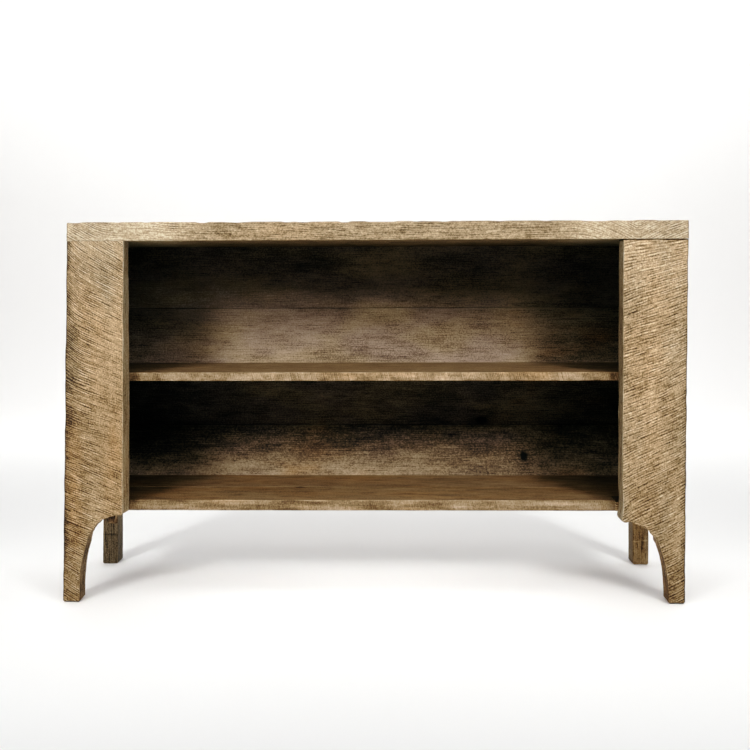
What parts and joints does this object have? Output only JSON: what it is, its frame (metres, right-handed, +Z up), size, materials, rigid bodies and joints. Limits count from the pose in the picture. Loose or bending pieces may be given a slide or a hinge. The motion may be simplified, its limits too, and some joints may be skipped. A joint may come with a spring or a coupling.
{
  "type": "open shelf vanity cabinet",
  "caption": "Open-front wood cabinet with a thick top, two arched front leg boards, rear posts, a middle and a bottom shelf, and a boarded back.",
  "frame": {"origin": "middle of the bounding box, on the floor", "axes": "+X along the width to the right as seen from the open front, +Y from the open front towards the boarded back, +Z up"},
  "size_m": [1.536, 0.457, 0.936],
  "materials": {
    "weathered_front_wood": "weathered tan, rough sawn with saw marks",
    "weathered_side_wood": "weathered tan, rough sawn",
    "brown_shelf_wood": "brown stain, smoother than the front",
    "dark_back_wood": "dark brown stain with grey and red patches",
    "dark_post_wood": "grey brown, hewn",
    "plain_dowel_wood": "bare hardwood",
    "screw_steel": "zinc plated"
  },
  "bodies": {
    "root": {"top_plank_front": "weathered_front_wood", "top_plank_middle": "weathered_front_wood", "top_plank_back": "weathered_front_wood", "top_spline_front": "plain_dowel_wood", "top_spline_back": "plain_dowel_wood", "leg_board_left": "weathered_front_wood", "leg_board_right": "weathered_front_wood", "rear_post_left": "dark_post_wood", "rear_post_right": "dark_post_wood", "side_plank_left_front": "weathered_side_wood", "side_plank_left_middle": "weathered_side_wood", "side_plank_left_back": "weathered_side_wood", "side_plank_right_front": "weathered_side_wood", "side_plank_right_middle": "weathered_side_wood", "side_plank_right_back": "weathered_side_wood", "middle_shelf_front": "brown_shelf_wood", "middle_shelf_back": "brown_shelf_wood", "bottom_shelf_front": "brown_shelf_wood", "bottom_shelf_back": "brown_shelf_wood", "bottom_shelf_end_block": "weathered_front_wood", "middle_cleat_left": "weathered_side_wood", "middle_cleat_right": "weathered_side_wood", "bottom_cleat_left": "weathered_side_wood", "bottom_cleat_right": "weathered_side_wood", "top_cleat_left": "weathered_side_wood", "top_cleat_right": "weathered_side_wood", "back_board_1": "dark_back_wood", "back_board_2": "dark_back_wood", "back_board_3": "dark_back_wood", "back_board_4": "dark_back_wood", "top_dowels": "plain_dowel_wood", "side_dowels_left": "plain_dowel_wood", "side_dowels_right": "plain_dowel_wood", "shelf_dowels": "plain_dowel_wood", "cleat_screws": "screw_steel", "shelf_screws": "screw_steel", "top_screws": "screw_steel", "back_screws": "screw_steel"}
  },
  "joints": []
}
